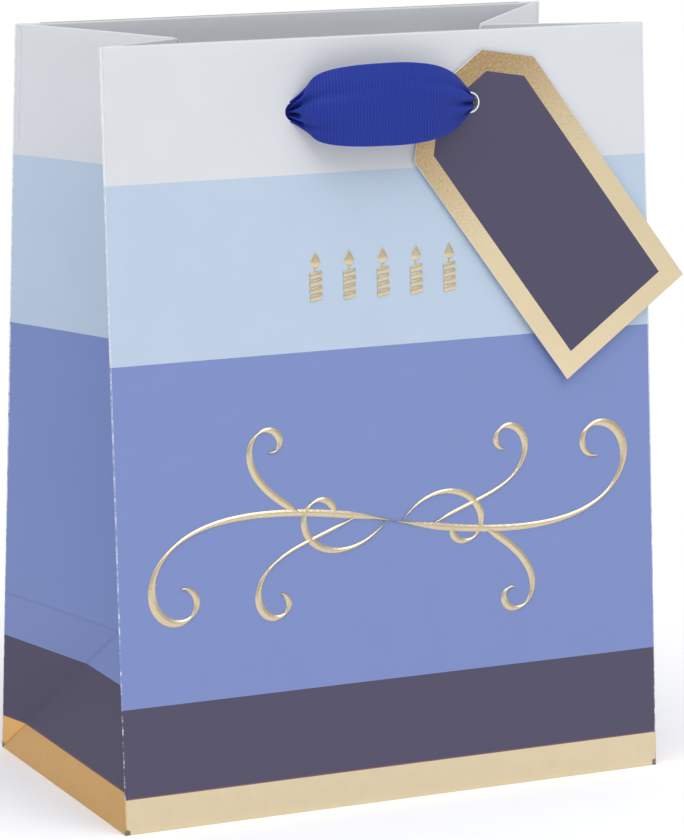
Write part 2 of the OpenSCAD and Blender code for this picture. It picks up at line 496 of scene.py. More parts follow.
def printed_paper(name, foil_colour):
    """The printed side: colour bands by height, a foil band at the foot."""
    p = bpy.context.scene.gift_bag_paper
    shade = Shade(name)
    uv, across, up = shade.layout()
    ragged = 0.10 * MM
    level = up + shade.noise(uv, 2500, 2) * ragged - ragged / 2
    mottle = shade.noise(uv, 60, 4)

    def ink(colour):
        return shade.tones(mottle, colour, 0.965, 1.035)

    def below(top, soft=0.05 * MM):
        return shade.step(level, top - soft, top + soft, 1, 0)

    tint = shade.mix(below(p.pale_top), ink(p.white), ink(p.pale))
    tint = shade.mix(below(p.middle_top), tint, ink(p.middle))
    tint = shade.mix(below(p.dark_top), tint, ink(p.dark))
    below_foil = below(p.foil_top)
    # a hair of warm ink shows where the foil meets the dark band
    seam = shade.step(abs(level - (p.foil_top + 0.2 * MM)), 0.1 * MM, 0.3 * MM, 0.6, 0)
    tint = shade.mix(seam, tint, WARM_INK)

    # worn ink along the creases, and a painted highlight on the fold edges
    beyond = abs(across) - BAG_W / 2
    to_edge = abs(beyond)
    on_front = shade.step(beyond, -0.1 * MM, 0, 1, 0)
    to_centre = abs(beyond - BAG_D / 2) + shade.step(up, APEX_H - 1 * MM, APEX_H, 1, 0)
    near = shade.math("MINIMUM", to_edge, to_centre)
    patchy = shade.noise(uv, 420, 4, 0.7)
    wear_and_highlight = shade.step(near, 0.05 * MM, 0.28 * MM, 1, 0)
    worn_and_highlit = shade.step(wear_and_highlight * 0.55 + patchy, 0.84, 1.18)
    worn_and_highlit = worn_and_highlit * (1 - below_foil * 0.7)
    tint = shade.mix(worn_and_highlit, tint, BARE_PAPER_AND_HIGHLIGHT)
    # the creases at the foot only shade the print
    to_diagonal = abs(beyond - up) * 0.7 + on_front
    to_level = abs(up - APEX_H) + on_front
    to_crease = shade.math("MINIMUM", to_diagonal, to_level)
    crease = shade.step(to_crease, 0.1 * MM, 0.8 * MM, 1, 0)
    tint = shade.mix(crease * patchy * 0.3, tint, CREASE_SHADE)
    # knocked corners at the foot
    to_corner = shade.math("SQRT", to_edge * to_edge + up * up * 0.3)
    at_corner = shade.step(to_corner, 0.4 * MM, 3 * MM, 0.62, 0)
    knocked = shade.step(at_corner + patchy, 0.92, 1.04)
    tint = shade.mix(knocked * 0.75, tint, GRIME)
    metal = below_foil * (1 - worn_and_highlit) * (1 - knocked)
    foil = shade.tones(shade.noise(uv, 220, 3), foil_colour, 0.94, 1.04)
    tint = shade.mix(metal, tint, foil)

    # the emboss is fainter under the foil, which has its own long ripples
    height = linen(shade, uv, across, up)
    paper_bump = shade.bump(height * (1 - metal * 0.75), 0.035 * MM)
    stretched = shade.node("ShaderNodeMapping", Vector=uv, Scale=(1, 0.3, 1)).outputs[0]
    ripples = shade.noise(stretched, 55, 3) * metal * 0.6 - crease * 0.3
    normal = shade.bump(ripples, 0.5 * MM, 0.6, paper_bump)
    return shade.done(
        Base_Color=tint, Metallic=metal,
        Roughness=0.62 - metal * 0.34 + mottle * 0.06,
        Normal=normal,
    )


def plain_paper(name):
    """The unprinted side of the sheet, and its cut edges."""
    p = bpy.context.scene.gift_bag_paper
    shade = Shade(name)
    where = shade.place()
    fibres = shade.noise(where, 1400, 4, 0.65)
    clouds = shade.noise(where, 35, 3)
    tint = shade.tones(clouds, p.inside, 0.96, 1.03)
    return shade.done(
        Base_Color=tint, Roughness=0.72 + clouds * 0.08,
        Normal=shade.bump(fibres, 0.03 * MM),
    )


def grey_board(name):
    """Pulp board with flecks."""
    shade = Shade(name)
    where = shade.place()
    flecks = shade.step(shade.noise(where, 900, 2), 0.62, 0.72)
    clouds = shade.noise(where, 90, 4)
    tint = shade.mix(clouds, (0.46, 0.44, 0.41, 1), (0.56, 0.54, 0.50, 1))
    tint = shade.mix(flecks * 0.5, tint, (0.30, 0.28, 0.26, 1))
    return shade.done(
        Base_Color=tint, Roughness=0.85,
        Normal=shade.bump(shade.noise(where, 700, 4), 0.08 * MM),
    )


def bottom_paper(name):
    """The glued bottom: plain paper with a foil rim that wraps round the edge."""
    p = bpy.context.scene.gift_bag_paper
    shade = Shade(name)
    where = shade.place()
    parts = shade.node("ShaderNodeSeparateXYZ", n0=where).outputs
    x, y = abs(Value(shade, parts[0])), abs(Value(shade, parts[1]))
    wrap, soft = 9 * MM, 0.1 * MM
    inside = shade.math("MINIMUM", BAG_W / 2 - x, BAG_D / 2 - y)
    foil = shade.step(inside, wrap - soft, wrap + soft, 1, 0)
    clouds = shade.noise(where, 40, 3)
    rubbed = shade.step(shade.noise(where, 260, 5, 0.7), 0.58, 0.7)
    metal = foil * (1 - rubbed * 0.8)
    tint = shade.tones(clouds, p.inside, 0.93, 1.02)
    tint = shade.mix(metal, tint, rgba(p.foil))
    return shade.done(
        Base_Color=tint, Metallic=metal, Roughness=0.7 - metal * 0.35,
        Normal=shade.bump(shade.noise(where, 1200, 4), 0.03 * MM),
    )


def raised_foil(name):
    """Hot-stamped foil on raised shapes, slightly crinkled."""
    p = bpy.context.scene.gift_bag_paper
    shade = Shade(name)
    where = shade.place()
    crinkle = shade.noise(where, 700, 3, 0.6)
    drift = shade.noise(where, 60, 2)
    tint = shade.tones(drift, p.foil, 0.80, 1.0)
    return shade.done(
        Base_Color=tint, Metallic=1.0, Roughness=0.2 + crinkle * 0.16,
        Normal=shade.bump(crinkle, 0.12 * MM, 0.6),
    )


def grosgrain(name):
    """Ribbed ribbon: weft ribs across, fine warp threads along."""
    r = bpy.context.scene.gift_bag_ribbon
    shade = Shade(name)
    uv, along, across = shade.layout()
    thread_pitch = 0.22 * MM
    ribs = shade.math("SINE", along * (2 * math.pi / r.rib_pitch)) * 0.5 + 0.5
    thread = shade.math("SINE", across * (2 * math.pi / thread_pitch)) * 0.5 + 0.5
    slub = shade.noise(uv, 800, 3)
    tone = ribs * 0.5 + slub * 0.5
    tint = shade.tones(tone, r.colour, 0.72, 1.25)
    to_selvedge = r.width / 2 - abs(across)
    selvedge = shade.step(to_selvedge, 0.3 * MM, 0.7 * MM, 1, 0)
    tint = shade.mix(selvedge * 0.35, tint, rgba(r.colour, 1.5))
    height = ribs * 0.6 + thread * ribs * 0.25 + slub * 0.3
    return shade.done(
        Base_Color=tint, Roughness=0.62 - ribs * 0.12,
        Normal=shade.bump(height, 0.10 * MM, 0.8), Specular_IOR_Level=0.3,
        Sheen_Weight=0.08, Sheen_Roughness=0.4, Sheen_Tint=(0.45, 0.55, 1, 1),
    )


def tag_print(name):
    """The tag's printed face: smooth dark ink with faint mottling."""
    p = bpy.context.scene.gift_bag_paper
    shade = Shade(name)
    uv, _, _ = shade.layout()
    mottle = shade.noise(uv, 90, 4)
    pinhole = shade.step(shade.noise(uv, 650, 1), 0.80, 0.83)
    tint = shade.tones(mottle, p.tag_dark, 0.93, 1.06)
    tint = shade.mix(pinhole * 0.5, tint, (0.3, 0.3, 0.34, 1))
    return shade.done(
        Base_Color=tint, Roughness=0.5 + mottle * 0.08,
        Normal=shade.bump(shade.noise(uv, 1500, 3), 0.02 * MM),
    )


def tag_foil(name):
    """The tag's foil border, crinkled near the top and smooth below, darker and mottled near the top with painted
    shade and highlights of the crinkle.
    """
    p = bpy.context.scene.gift_bag_paper
    t = bpy.context.scene.gift_bag_tag
    shade = Shade(name)
    uv, _, along = shade.layout()
    # crinkled most at the top edge, and hardly from here down
    smooth_below = -42 * MM
    crinkled_top = shade.step(along, smooth_below, t.hole_drop, 0.04, 1)
    crinkle = shade.step(shade.noise(uv, 1400, 3, 0.6), 0.15, 0.85)
    smooth_foil = shade.tones(shade.noise(uv, 60, 2), p.foil, 1.16, 1.28)
    # painted shade and highlights: the crinkle darkens and lightens the foil's colour
    crinkle_light_and_shade = shade.mix(crinkle, (0.31, 0.20, 0.095, 1), (0.60, 0.44, 0.24, 1))
    tint = shade.mix(crinkled_top, smooth_foil, crinkle_light_and_shade)
    return shade.done(
        Base_Color=tint, Metallic=1.0,
        Roughness=0.24 + crinkled_top * crinkle * 0.3,
        Normal=shade.bump(crinkle * crinkled_top, 0.14 * MM, 0.8),
    )


def floor_finish(name):
    shade = Shade(name)
    grain = shade.noise(shade.place(), 30, 2)
    tint = shade.mix(grain, (0.95, 0.95, 0.955, 1), (0.97, 0.97, 0.975, 1))
    return shade.done(Base_Color=tint, Roughness=0.8)


# --- pieces
SIDES = {"front": FRONT, "back": BACK}
HANDS = {"left": LEFT, "right": RIGHT}


def punch(obj, points, radius):
    """Punches round holes through obj along the line of each point."""
    for point, direction in points:
        deselect()
        bpy.ops.mesh.primitive_cylinder_add(
            vertices=40, radius=radius, depth=8 * MM, location=point,
            rotation=direction.to_track_quat("Z", "Y").to_euler(),
        )
        cutter = named("punch")
        apply_place(cutter)
        finish_modifier(
            obj, "BOOLEAN", operation="DIFFERENCE", solver="EXACT", object=cutter
        )
        bpy.data.objects.remove(cutter)


class GIFTBAG_OT_stage(bpy.types.Operator):
    """Add the camera, the lights and the floor"""

    bl_idname = "gift_bag.stage"
    bl_label = "Stage"

    def execute(self, context):
        stage = context.scene.gift_bag_stage
        target = Vector((4.41, 0, 106.65)) * MM
        a, e = stage.azimuth, stage.elevation
        back = Vector((math.sin(a) * math.cos(e), -math.cos(a) * math.cos(e), math.sin(e)))
        right = (-back).cross(Vector((0, 0, 1))).normalized()
        up = right.cross(-back)
        c, s = math.cos(stage.roll), math.sin(stage.roll)
        x_axis, y_axis = right * c + up * s, up * c - right * s
        lens = bpy.data.cameras.new("camera")
        lens.lens = stage.lens
        camera = bpy.data.objects.new("camera", lens)
        turn = Matrix((x_axis, y_axis, back)).transposed().to_4x4()
        camera.matrix_world = Matrix.Translation(target + back * stage.distance) @ turn
        context.scene.collection.objects.link(camera)
        context.scene.camera = camera

        deselect()
        # a hair under the bag, so that the two don't share a plane
        bpy.ops.mesh.primitive_grid_add(
            x_subdivisions=8, y_subdivisions=8, size=12, location=(0, 0, -0.06 * MM)
        )
        floor = named("floor")
        apply_place(floor)
        paint(floor, finish("floor_white", floor_finish))

        def softbox(name, place, size, power):
            """A soft light that is aimed at the middle of the bag."""
            bpy.ops.object.light_add(type="AREA", location=place)
            light = bpy.context.object
            light.name = name
            light.data.shape = "RECTANGLE"
            light.data.size, light.data.size_y = size
            light.data.energy = power
            aim = Vector((0, 0, 0.1)) - Vector(place)
            light.rotation_euler = aim.to_track_quat("-Z", "Y").to_euler()

        softbox("key", (0.55, -1.5, 1.1), (1.1, 1.1), 2.0)
        softbox("fill", (-1.6, -0.6, 0.9), (0.9, 1.2), 3.2)
        bpy.ops.object.light_add(type="SUN", location=(0, 0, 2))
        ceiling = bpy.context.object
        ceiling.name = "ceiling"
        ceiling.data.energy = 1.6
        ceiling.data.angle = math.radians(60)
        ceiling.rotation_euler.x = math.radians(25)

        world = bpy.data.worlds.new("studio")
        context.scene.world = world
        world.use_nodes = True
        sky = world.node_tree.nodes["Background"].inputs
        sky["Color"].default_value = (1, 1, 1, 1)
        sky["Strength"].default_value = stage.world
        context.scene.view_settings.view_transform = "Standard"
        return {"FINISHED"}


class GIFTBAG_OT_panels(bpy.types.Operator):
    """Fold the front and back panels with their hems"""

    bl_idname = "gift_bag.panels"
    bl_label = "Front and back panels"

    def execute(self, context):
        p = context.scene.gift_bag_paper
        faces = both_faces("band_print", p.foil)
        radius = 0.75 * MM  # of the turn over the rim, with the card inside it
        fold = 0.5 * MM  # radius of the upright edges
        wrap = 0.55 * MM  # how far the paper goes on round an upright edge
        hem_trim = 2.4 * MM  # how much narrower the hem is
        flat_half = BAG_W / 2 - fold
        columns = spread(-flat_half, flat_half, 44)
        rim = BAG_H - radius
        rows = spread(0.02 * MM, rim, 56)
        rows += [rim + math.pi * radius * i / 8 for i in range(1, 9)]
        rows += spread(rows[-1], rows[-1] + HEM_H - 2 * radius, 9)[1:]
        wraps = [flat_half + wrap * (i + 1) / 4 for i in range(4)]
        columns = [-w for w in reversed(wraps)] + columns + wraps
        for name, side in SIDES.items():

            def place(s, h, side=side):
                height, depth = over_rim(h, radius)
                over = abs(s) - flat_half
                x = s
                if over > 0:
                    turn = over / fold
                    x = math.copysign(flat_half + fold * math.sin(turn), s)
                    if h < rim:
                        depth += fold * (1 - math.cos(turn))
                if h > rim:
                    x *= 1 - min(1, (h - rim) / (math.pi * radius)) * hem_trim / BAG_W
                if h < rim:
                    depth += waviness(s, h)
                return panel_point(side, x, height, depth)

            sheet = cut_sheet(
                f"{name}_panel_paper", columns, rows, place, faces,
                outward=Vector((0, side, 0)), thick=p.thickness,
            )
            normal = Vector((0, side * LEAN_COS, LEAN_SIN))
            holes = [(panel_point(side, hand * HOLE_X, HOLE_H), normal) for hand in (-1, 1)]
            punch(sheet, holes, HOLE_R)
            smooth(sheet, 40)
            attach(sheet, name)
            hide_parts(f"{name}_panel", f"{name}_hem")
        return {"FINISHED"}


class GIFTBAG_OT_sides(bpy.types.Operator):
    """Fold the side gussets, their hems and the folded feet"""

    bl_idname = "gift_bag.sides"
    bl_label = "Side gussets and feet"

    def execute(self, context):
        p = context.scene.gift_bag_paper
        # the sides take the deeper gold foil, which is painted shade
        faces = both_faces("side_band_print", p.side_foil)
        radius = 0.4 * MM  # of the turn over the rim
        hem_step, hem_share = 0.6 * MM, 0.97  # where the hem starts, and its width
        rim = BAG_H - radius
        rows = spread(APEX_H, rim, 40)
        rows += [rim + math.pi * radius * i / 6 for i in range(1, 7)]
        rows += spread(rows[-1], rows[-1] + HEM_H - 2 * radius, 8)[1:]
        start_w, end_w = 0.12 * MM, BAG_D / 2 - 0.02 * MM
        # A start height below the apex, worked out from the share of the gusset's turn that the foot corner takes.
        share = RATIO["foot_corner_front_left_fold"] / RATIO["gusset_front_left_fold"]
        low = 0.5 - math.sin(math.asin(1 - 2 * share) / 3)
        top = BAG_H * LEAN_COS
        start = (APEX_H * LEAN_COS - low * top) / (1 - low)
        for hand, sx in HANDS.items():
            for name, sy in SIDES.items():
                outward = Vector((sx, -0.3 * sy, 0))

                def place(s, h, sx=sx, sy=sy):
                    height, depth = over_rim(h, radius)
                    w = abs(s) - BAG_W / 2
                    if h > rim:
                        w = start_w + hem_step + (w - start_w) * hem_share
                    # the free paper bows in a little
                    belly = math.sin(math.pi * min(1, w / end_w))
                    bow = 0.5 + 0.5 * noise.noise(Vector((w * 25, h * 9, 3 * sx + sy)))
                    fade = max(0, min(1, (height - APEX_H) / (20 * MM)))
                    depth += belly * fade * bow * MM
                    return side_point(sx, sy, height, w, depth)

                columns = [sx * (BAG_W / 2 + w) for w in spread(start_w, end_w, 14)]
                node = f"gusset_{name}_{hand}"
                sheet = cut_sheet(
                    f"{node}_paper", columns, rows, place, faces,
                    outward=outward, thick=p.thickness,
                )
                smooth(sheet, 40)
                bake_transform(sheet)
                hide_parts(node, f"gusset_hem_{name}_{hand}")

                if sy == FRONT:
                    self.crease_strip(f"{node}_crease", sx, end_w, faces, (start, top))

                def corner_cut(part, h, sx=sx):
                    return sx * (BAG_W / 2 + start_w + part * (h - start_w)), h

                def corner_place(s, h, sx=sx, sy=sy):
                    return side_point(sx, sy, h, abs(s) - BAG_W / 2)

                node = f"foot_corner_{name}_{hand}"
                corner = cut_sheet(
                    f"{node}_paper", spread(0, 1, 10), spread(0.3 * MM, APEX_H, 16),
                    corner_place, faces, cut=corner_cut, outward=outward,
                    thick=p.thickness,
                )
                smooth(corner, 40)
                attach(corner, node)
                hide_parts(node)

            def foot_place(part, u, sx=sx):
                return foot_point(sx, part * (BAG_D / 2 - u), u)

            foot = cut_sheet(
                f"{hand}_foot_paper", spread(-1, 1, 20),
                spread(0.02 * MM, APEX_H - 0.2 * MM, 14), foot_place, faces,
                outward=Vector((sx, 0, 0)), thick=0,
            )
            layout = foot.data.uv_layers["sheet"].data
            for loop in foot.data.loops:
                y = foot.data.vertices[loop.vertex_index].co.y
                layout[loop.index].uv.x = sx * (BAG_W / 2 + BAG_D / 2 - abs(y))
            thicken(foot, p.thickness, faces)
            smooth(foot, 40)
            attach(foot, f"{hand}_foot")
            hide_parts(f"{hand}_foot_fold")
        return {"FINISHED"}

    def crease_strip(self, name, sx, end_w, faces, blend):
        """Paper behind a gusset's centre crease, which keeps it closed as it moves."""
        hem_start = BAG_H - HEM_H
        behind, behind_hem = 0.42 * MM, 0.45 * MM
        steps = (-0.5, 0, 0.7, 1.4, 2.1, 2.8)  # in mm, from the crease
        ease = math.radians(12)  # turned this much less than the other half

        def place(s, h):
            past = abs(s) - BAG_W / 2 - BAG_D / 2
            in_hem = min(1.0, max(0.0, (h - hem_start) / (4 * MM) + 1))
            depth = behind + behind_hem * in_hem
            if past <= 0:
                return side_point(sx, FRONT, h, end_w + past, depth)
            turn = fold_angle(h) - ease
            across, inwards = side_axes(sx, FRONT)
            ahead = math.cos(turn) * across - math.sin(turn) * inwards
            return side_point(sx, FRONT, h, end_w, depth) + past * ahead

        columns = [sx * (BAG_W / 2 + BAG_D / 2 + step * MM) for step in steps]
        strip = cut_sheet(
            name, columns, spread(APEX_H + 1 * MM, BAG_H - 0.6 * MM, 40), place, faces,
            outward=Vector((sx, 0, 0)),
        )
        smooth(strip, 40)
        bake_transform(strip)


class GIFTBAG_OT_layers(bpy.types.Operator):
    """Finish the board, the cards and the bottom flaps"""

    bl_idname = "gift_bag.layers"
    bl_label = "Board, cards and bottom"

    def execute(self, context):
        board = finish("grey_board", grey_board)
        bottom = finish("bottom_paper", bottom_paper)
        plain = finish("plain_paper", plain_paper)
        for node in ("base_board", "front_card", "back_card"):
            paint(frame["nodes"][node], board)
        for node in ("front", "back", "left", "right"):
            paint(frame["nodes"][f"bottom_flap_{node}"], bottom)
        paint(frame["nodes"]["side_seam_flap"], plain)
        return {"FINISHED"}


def lay_on_front(obj):
    """Wraps a piece drawn flat, x across and y up, onto the front panel."""
    for vertex in obj.data.vertices:
        x, h, lift = vertex.co
        vertex.co = panel_point(FRONT, x, h, waviness(x, h) - lift)
    obj.data.update()
    edit(obj)
    bpy.ops.mesh.normals_make_consistent(inside=False)
    leave_edit()
    return obj


def block(width, height, lift, place, slant=0.0):
    """A low bevelled block; slant lifts its right side."""
    deselect()
    bpy.ops.mesh.primitive_cube_add(size=1, location=place)
    obj = bpy.context.object
    obj.scale = (width, height, lift)
    apply_place(obj)
    edit_part(obj, lambda point: point.x > place[0])
    bpy.ops.transform.translate(value=(0, slant, 0))
    bpy.ops.mesh.select_all(action="SELECT")
    bpy.ops.mesh.bevel(offset=lift * 0.3, segments=2)
    leave_edit()
    return obj


class GIFTBAG_OT_candles(bpy.types.Operator):
    """Add the row of raised foil candles to the front"""

    bl_idname = "gift_bag.candles"
    bl_label = "Foil candles"

    def execute(self, context):
        foil = finish("raised_foil", raised_foil)
        lift = 0.6 * MM
        width, stripe, gap, stripes = 4.0 * MM, 1.8 * MM, 0.4 * MM, 4
        wick_w, wick_h = 0.6 * MM, 1.3 * MM
        flame_r, flame_tip = 1.7 * MM, 3.2 * MM
        parts = []
        for i in range(stripes):
            y = stripe / 2 + i * (stripe + gap)
            parts.append(block(width, stripe, lift, (0, y, 0), slant=0.7 * MM))
        top = stripes * (stripe + gap)
        parts.append(block(wick_w, wick_h, lift, (0, top + 0.85 * MM, 0)))
        deselect()
        flame_y = top + 2.9 * MM
        bpy.ops.mesh.primitive_uv_sphere_add(
            segments=24, ring_count=12, radius=flame_r, location=(0, flame_y, 0)
        )
        flame = bpy.context.object
        apply_place(flame)
        for vertex in flame.data.vertices:
            rise = (vertex.co.y - flame_y) / flame_r
            if rise > 0:
                vertex.co.x *= (1 - rise) ** 0.6 * (1 - 0.2 * rise)
                vertex.co.y = flame_y + rise * flame_tip
            vertex.co.z *= 0.2
        parts.append(flame)
        candle = join("foil_candle_pattern", parts)
        count, spacing, first, row_h = 5, 11 * MM, -23 * MM, 152.4 * MM
        for i in range(count):
            one = copy_of(candle, f"foil_candle_{i + 1}")
            one.data.transform(Matrix.Translation((first + i * spacing, row_h, 0)))
            lay_on_front(one)
            smooth(one, 40)
            paint(one, foil)
            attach(one, "front")
        bpy.data.objects.remove(candle)
        return {"FINISHED"}


def scroll_line(x, y, heading, reach, bend, curl, power, steps=150):
    """A pen line whose curvature grows along it: a list of points and headings."""
    line, angle = [], heading
    step = reach / steps
    for i in range(steps + 1):
        line.append((x, y, angle))
        t = i / steps
        angle += (bend + curl * t**power) * step
        x += math.cos(angle) * step
        y += math.sin(angle) * step
    return line


class GIFTBAG_OT_flourish(bpy.types.Operator):
    """Add the raised foil flourish across the front"""

    bl_idname = "gift_bag.flourish"
    bl_label = "Foil flourish"

    def execute(self, context):
        foil = finish("raised_foil", raised_foil)
        centre = Vector((0.5 * MM, 85 * MM))
        # start x, start y, heading, length, bend, curl (1/mm), power, widest
        strokes = (
            (0, 0, -14, 142, 0.004, 0.215, 4.0, 3.4),
            (14, -3.2, 24, 74, -0.006, 0.30, 2.6, 2.9),
            (35, -5.2, -30, 58, -0.010, -0.33, 2.4, 2.7),
            (3, -0.6, 50, 62, -0.035, -0.20, 2.2, 2.7),
        )
        nib = math.radians(35)  # angle of the broad pen
        scale = 0.84 * MM
        dome_h, edge_h = 0.42 * MM, 0.02 * MM
        count = 0
        for x, y, heading, reach, bend, curl, power, widest in strokes:
            for turn in (0, 1):
                line = scroll_line(x, y, math.radians(heading), reach, bend, curl, power)
                steps = len(line) - 1

                def place(t, v, line=line, widest=widest, turn=turn, steps=steps):
                    px, py, angle = line[min(round(t * steps), steps)]
                    taper = min(1.0, 7 * t + 0.12, 9 * (1 - t) + 0.3)
                    pen = 0.34 + 0.66 * abs(math.sin(angle - nib)) ** 1.3
                    half = widest / 2 * pen * taper
                    qx = px - math.sin(angle) * v * half
                    qy = py + math.cos(angle) * v * half
                    if turn:
                        qx, qy = -qx, -qy
                    dome = dome_h * (1 - v * v) + edge_h
                    return Vector((qx * scale + centre.x, qy * scale + centre.y, dome))

                count += 1
                stroke = cut_sheet(
                    f"foil_scroll_{count}", spread(0, 1, steps), spread(-1, 1, 6),
                    place, (foil,), outward=Vector((0, 0, 1)), thick=0.15 * MM,
                )
                lay_on_front(stroke)
                smooth(stroke, 50)
                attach(stroke, "front")
        return {"FINISHED"}


# how square the plan of a loop is: 1 for an ellipse
ALONG_POWER, OUT_POWER = 0.8, 0.7


def ribbon_path(rise):
    """The middle line of a ribbon: out of one hole, round and into the other."""
    inner = 0.8 * MM
    # the tag pushes the right end of the loop against the side of its hole
    right = HOLE_X + 0.7 * MM
    points = [(-HOLE_X, -inner)]
    steps = 240
    for i in range(steps + 1):
        turn = math.pi * i / steps
        x = math.cos(turn)
        end = -HOLE_X if x > 0 else right
        out = rise * max(0.0, math.sin(turn)) ** OUT_POWER
        points.append((end * abs(x) ** ALONG_POWER, out))
    points.append((right, -inner))
    distance = [0.0]
    for a, b in zip(points, points[1:]):
        distance.append(distance[-1] + math.dist(a, b))
    return points, distance


def along_path(points, distance, s):
    """The point at length s along a path."""
    low, high = 0, len(points) - 1
    while high - low > 1:
        middle = (low + high) // 2
        if distance[middle] <= s:
            low = middle
        else:
            high = middle
    a, b = Vector(points[low]), Vector(points[high])
    part = (s - distance[low]) / max(distance[high] - distance[low], 1e-9)
    return a.lerp(b, min(1, max(0, part)))


# Folds gathered into a hole: place across the ribbon, depth in mm and width.
# Place and width are shares of half the ribbon's width.
FOLDS_LEFT = ((0.34, 3.4, 0.14), (-0.60, 2.6, 0.12))
FOLDS_RIGHT = ((-0.08, 3.6, 0.13), (0.50, 2.2, 0.12), (-0.58, 2.2, 0.12))


def opening(t, power):
    """How far a gathered ribbon has opened: t**power, levelling off at 1."""
    grown = t**power
    return grown / (1 + grown**8) ** 0.125


class GIFTBAG_OT_ribbons(bpy.types.Operator):
    """Gather the two ribbon handles into their holes"""

    bl_idname = "gift_bag.ribbons"
    bl_label = "Ribbon handles"

    def execute(self, context):
        r = context.scene.gift_bag_ribbon
        weave = finish("grosgrain", grosgrain)
        points, distance = ribbon_path(r.rise)
        total = distance[-1]
        steps = round(total / r.rib_pitch * 6)
        smoothing = 1.5 * MM
        middle = 16 * MM  # where the left end's shape passes into the right end's
        open_left, open_right = math.radians(62), math.radians(72)
        closed_right = 0.08  # in radians: as far as the tag's hole
        for name, side in SIDES.items():

            def place(s, v, side=side):
                at = along_path(points, distance, s)
                before = along_path(points, distance, max(0, s - smoothing))
                after = along_path(points, distance, min(total, s + smoothing))
                ahead = (after - before).normalized()
                away = Vector((-ahead.y, ahead.x))
                # the turn from the nearer hole towards the middle of the loop
                turn = math.asin(max(0.0, min(1.0, at.y / r.rise)) ** (1 / OUT_POWER))
                to_right = min(1.0, max(0.0, 0.5 + at.x / middle))
                opened = opening(turn / open_left, 0.52) * (1 - to_right)
                past = max(0.0, turn - closed_right)
                opened += opening(past / open_right, 0.85) * to_right
                gather = 1 - opened
                neck = HOLE_R - (0.15 + 1.05 * to_right) * MM
                half = neck + (r.width / 2 * 0.995 - neck) * opened
                share = v / (r.width / 2)
                # folds that fade in from the hole, and a tuck inside it
                folds = FOLDS_RIGHT if to_right > 0.5 else FOLDS_LEFT
                depth = sum(d * math.exp(-(((share - c) / w) ** 2)) for c, d, w in folds)
                grown = min(1.0, turn / 0.3)
                pleat = (0.25 * (1 - to_right) - depth) * MM * gather**0.95 * grown
                tuck = (1.5 - 2.2 * to_right) * MM * (1 - grown) ** 1.5
                pleat += tuck * math.cos(4 * math.pi * share)
                # the edges curl back, the weave's ribs stand up, the cloth ripples
                camber = (10.4 * gather + 0.9) * opened * MM * share**2
                rib = 0.045 * MM * math.cos(2 * math.pi * s / r.rib_pitch)
                ripple = 0.5 * MM * noise.noise(Vector((s * 60, v * 80, 5.0 + side)))
                off = pleat - camber + rib + ripple * opened
                lift = 1.4 * MM * opened
                return panel_point(
                    side, at.x + away.x * off, HOLE_H + half * share + lift,
                    -(at.y + away.y * off),
                )

            ribbon = cut_sheet(
                f"{name}_ribbon_loop", spread(0, total, steps),
                spread(-r.width / 2, r.width / 2, 44), place, (weave,),
                outward=Vector((0, side, 0)), thick=r.thickness,
            )
            smooth(ribbon, 60)
            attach(ribbon, f"{name}_handle")
            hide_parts(f"{name}_ribbon")
        return {"FINISHED"}


class GIFTBAG_OT_knots(bpy.types.Operator):
    """Tie the ribbon ends inside the bag"""

    bl_idname = "gift_bag.knots"
    bl_label = "Ribbon knots"

    def execute(self, context):
        weave = finish("grosgrain", grosgrain)
        turns, ring_r, band_w = 3, 2.9 * MM, 4.4 * MM
        tail_l, tail_half = 20 * MM, 4.6 * MM
        thickness = 0.35 * MM
        # from the panel's outer face, behind the paper, the card and the hem
        depth = 4.6 * MM
        for name, side in SIDES.items():
            for hand, sx in HANDS.items():
                node = f"{name}_knot_{hand}"
                parts = []
                # turns of gathered ribbon that wrap each other
                for i in range(turns):
                    tilt = Matrix.Rotation(math.radians(60 * i + 15 * sx), 3, "Z")

                    def wrap(s, v, tilt=tilt, i=i):
                        turn = s / ring_r
                        ring = ring_r + 0.9 * MM * math.cos(v / (1.5 * MM))
                        x, y, z = ring * math.cos(turn), v * 0.9, ring * math.sin(turn) * 0.8
                        return tilt @ Vector((x, y, z + 0.15 * MM * i))

                    parts.append(cut_sheet(
                        "turn", spread(0, 2 * math.pi * ring_r, 60),
                        spread(-band_w / 2, band_w / 2, 10), wrap, (weave,), thick=thickness,
                    ))

                def hang(s, v, sx=sx):
                    share = s / tail_l
                    x = (0.35 + 0.65 * min(1, share * 2.2)) * v + sx * share * 2.2 * MM
                    fold = 0.8 * MM * math.cos(v / (1.6 * MM)) * (1 - share)
                    return Vector((x, -s, fold + 1.2 * MM * share))

                def notch(s, v):
                    return s * (1 - 0.14 * (1 - abs(v) / tail_half)), v

                parts.append(cut_sheet(
                    "tail", spread(0, tail_l, 60), spread(-tail_half, tail_half, 16),
                    hang, (weave,), cut=notch, thick=thickness,
                ))
                knot = join(f"{node}_tied", parts)
                for vertex in knot.data.vertices:
                    x, up, out = vertex.co
                    vertex.co = panel_point(
                        side, sx * HOLE_X + x, HOLE_H + up, depth + out * 0.8
                    )
                knot.data.update()
                edit(knot)
                bpy.ops.mesh.normals_make_consistent(inside=False)
                leave_edit()
                smooth(knot, 60)
                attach(knot, name)
                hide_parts(node)
        return {"FINISHED"}


